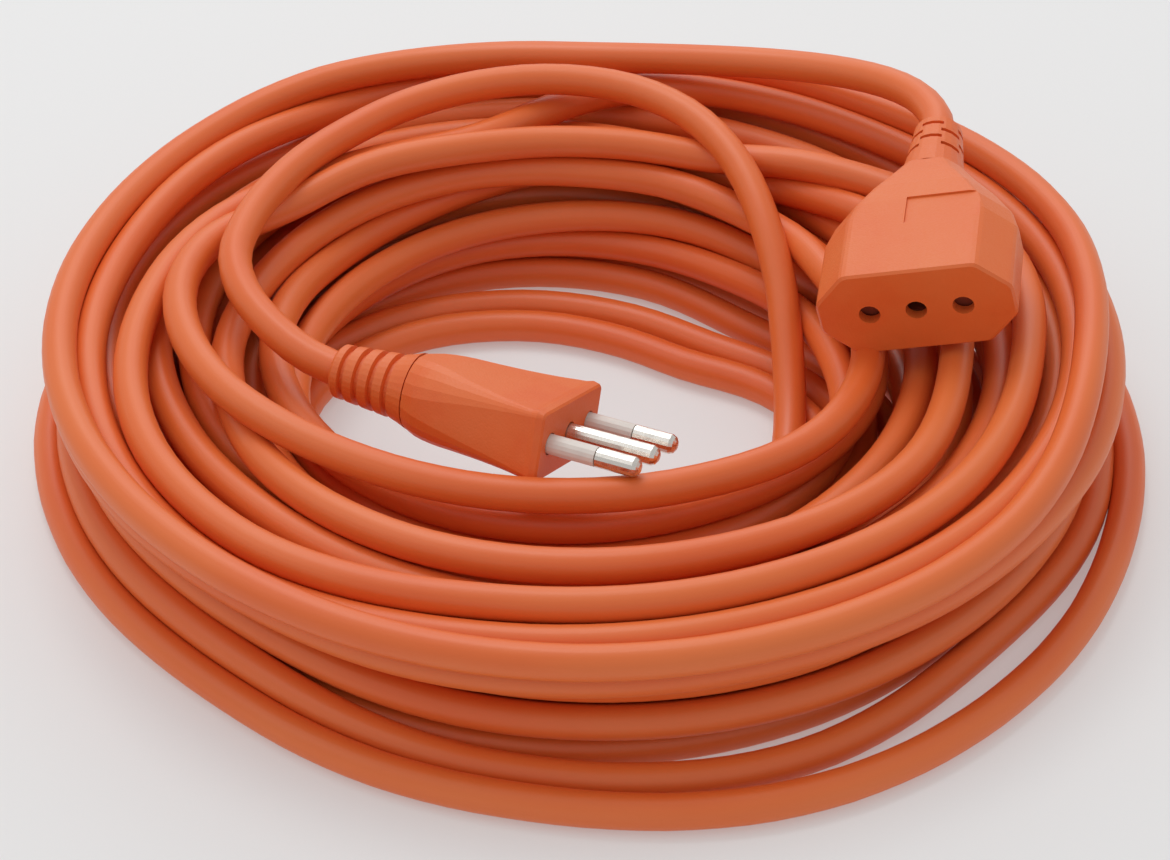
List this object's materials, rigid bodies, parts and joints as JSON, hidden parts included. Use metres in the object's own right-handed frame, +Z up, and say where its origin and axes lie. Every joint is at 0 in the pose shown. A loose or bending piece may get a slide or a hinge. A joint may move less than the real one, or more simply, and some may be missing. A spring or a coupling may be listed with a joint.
{
  "type": "extension cord",
  "caption": "Hank of round orange mains cord with a moulded in-line pin plug on one end and a moulded flat socket connector with a sprung shutter on the other.",
  "frame": {"origin": "centre of the hank's underside, on the surface it lies on", "axes": "+Z up out of the hank's eye; +X to the right, the side the connector lies on; +Y to the back, the side both leads pass"},
  "size_m": [0.234, 0.234, 0.0612],
  "materials": {
    "orange_pvc": "soft moulded PVC with a fine matt skin and a faint sheen on rounded edges",
    "cord_sheath": "extruded PVC sheath, satin, slightly grained",
    "pin_brass": "nickel-plated brass, polished with fine turning marks",
    "pin_sleeve": "pale insulating plastic, satin",
    "carrier_plastic": "black moulded plastic, matt",
    "shutter_plastic": "dark orange moulded plastic, matt",
    "contact_brass": "bare brass, drawn",
    "copper": "bare copper strand, compacted",
    "spring_steel": "drawn spring wire",
    "core_line": "brown core insulation, satin",
    "core_neutral": "blue core insulation, satin",
    "core_earth": "green and yellow core insulation, satin"
  },
  "bodies": {
    "cord_set": {"connector_body": "orange_pvc", "connector_carrier": "carrier_plastic", "connector_carrier_cover": "carrier_plastic", "connector_contact_earth": "contact_brass", "connector_contact_line": "contact_brass", "connector_contact_neutral": "contact_brass", "connector_copper_earth": "copper", "connector_copper_line": "copper", "connector_copper_neutral": "copper", "connector_core_earth": "core_earth", "connector_core_line": "core_line", "connector_core_neutral": "core_neutral", "connector_shutter_spring": "spring_steel", "connector_strain_relief": "orange_pvc", "cord_coil": "cord_sheath", "cord_connector_lead": "cord_sheath", "cord_plug_lead": "cord_sheath", "plug_body": "orange_pvc", "plug_copper_earth": "copper", "plug_copper_line": "copper", "plug_copper_neutral": "copper", "plug_core_earth": "core_earth", "plug_core_line": "core_line", "plug_core_neutral": "core_neutral", "plug_pin_carrier": "carrier_plastic", "plug_pin_earth": "pin_brass", "plug_pin_line": "pin_brass", "plug_pin_neutral": "pin_brass", "plug_pin_sleeve_line": "pin_sleeve", "plug_pin_sleeve_neutral": "pin_sleeve", "plug_strain_relief": "orange_pvc"},
    "shutter": {"connector_shutter": "shutter_plastic"}
  },
  "joints": [
    {"name": "shutter_slide", "type": "slide", "parent": "cord_set", "child": "shutter", "axis": [0.9547, -0.1747, 0.2408], "range_m": [0, 0.0046], "stiffness_N_per_m": 100, "springref_m": -0.003, "deforming": ["connector_shutter_spring"]}
  ]
}
